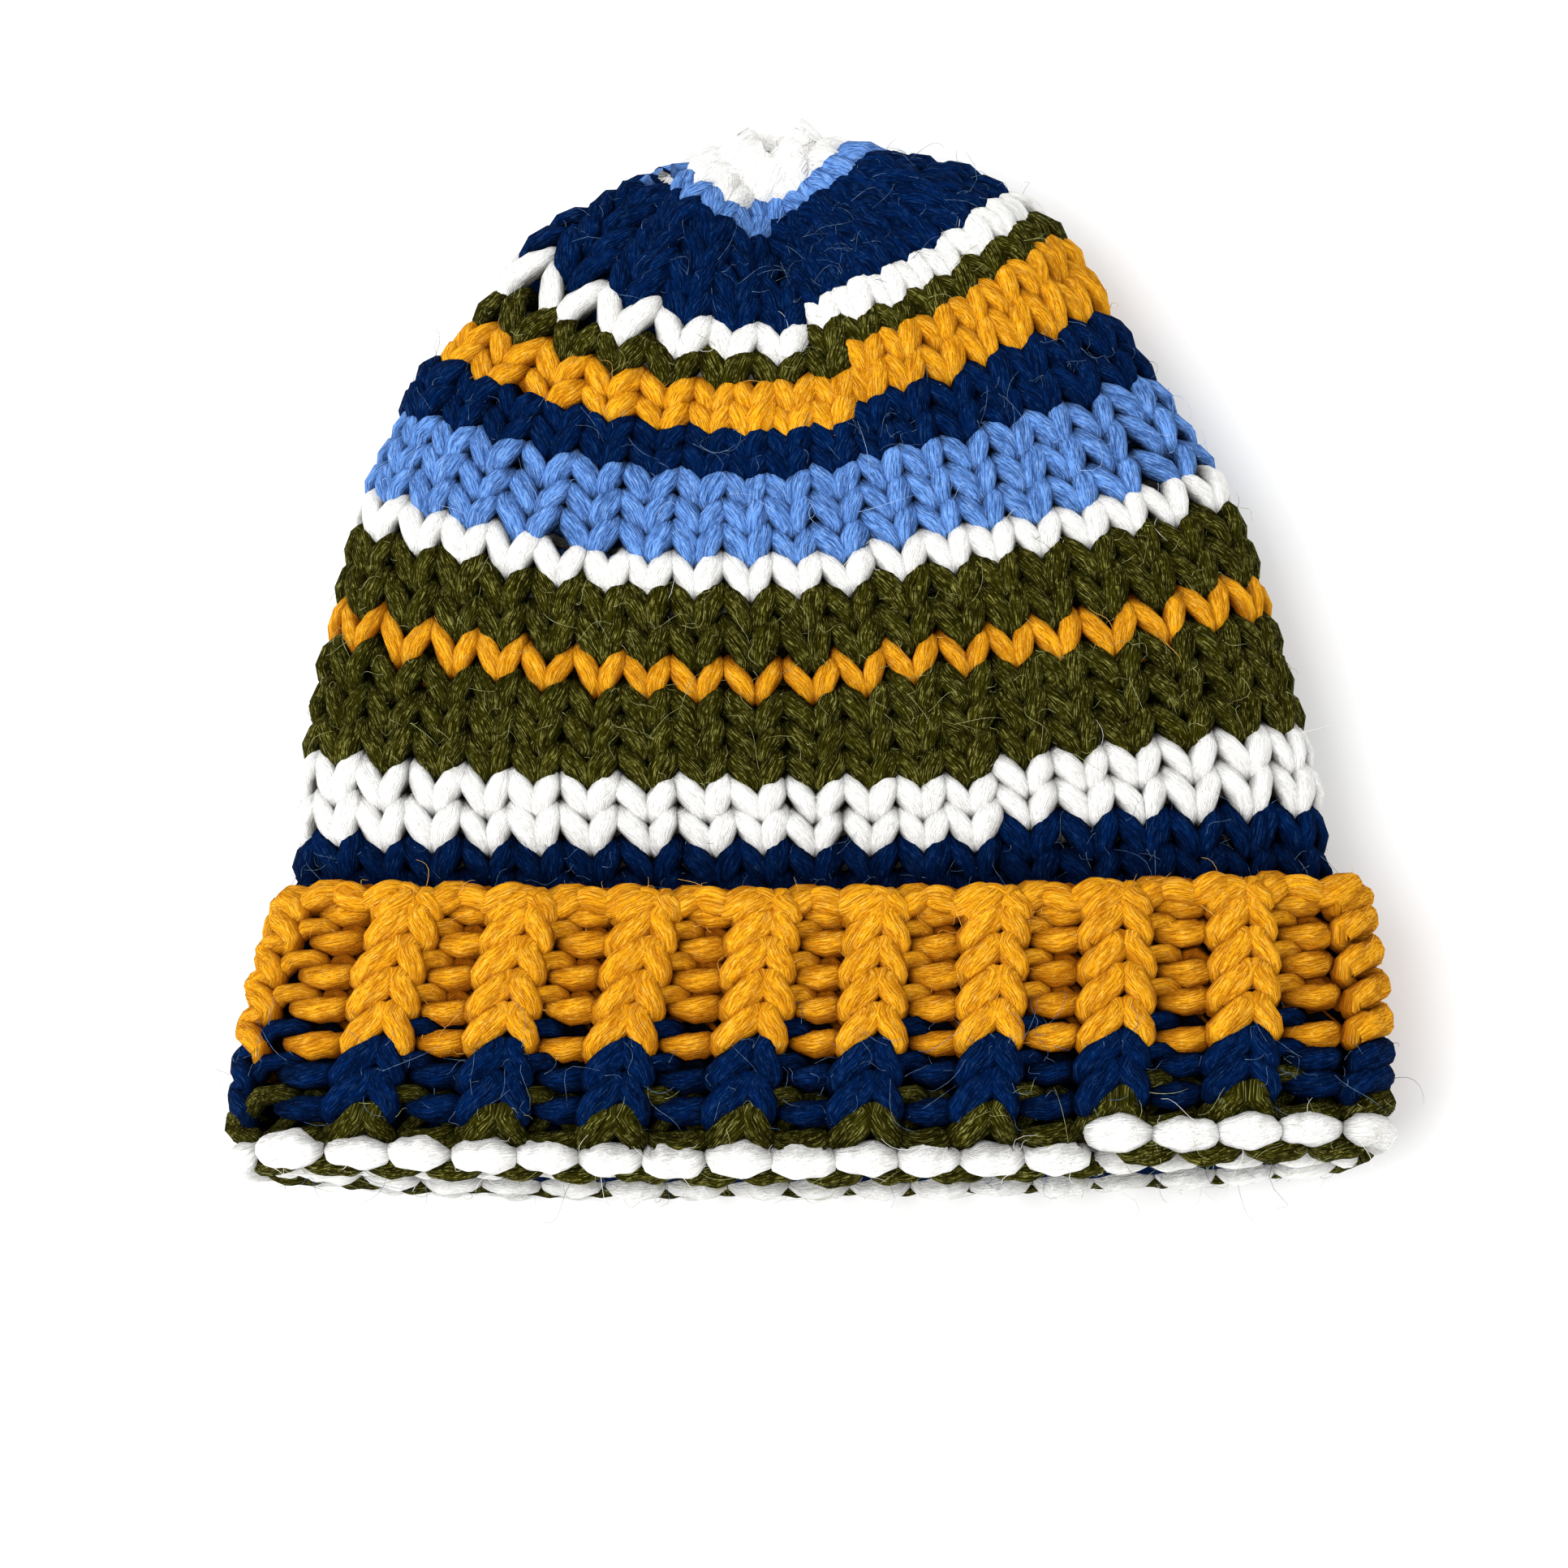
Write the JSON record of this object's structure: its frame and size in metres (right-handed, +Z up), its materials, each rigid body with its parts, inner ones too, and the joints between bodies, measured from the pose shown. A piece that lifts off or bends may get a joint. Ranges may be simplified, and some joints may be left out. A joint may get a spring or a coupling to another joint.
{
  "type": "knitted beanie with turned-up cuff",
  "caption": "Bulky hand-knitted beanie lying flat: a striped stocking-stitch body drawn together at the crown, and a ribbed cuff turned up round the open hem.",
  "frame": {"origin": "centre of the bounding box's underside, on the surface that the hat lies on", "axes": "+X across the hat, +Y from the hem to the crown, +Z up"},
  "size_m": [0.234, 0.227, 0.0436],
  "materials": {
    "olive_wool": "bulky plied wool blend, matt, slightly hairy, with paler fibres in it",
    "mustard_wool": "bulky plied wool blend, matt, slightly hairy",
    "navy_wool": "bulky plied wool blend, matt, with fine pale hairs",
    "light_blue_wool": "bulky plied wool blend, matt, slightly hairy",
    "white_wool": "bulky plied wool blend, matt, softer and thicker than the other colours"
  },
  "bodies": {
    "root": {"knitted_body": "olive_wool", "turned_up_cuff": "mustard_wool"}
  },
  "joints": []
}
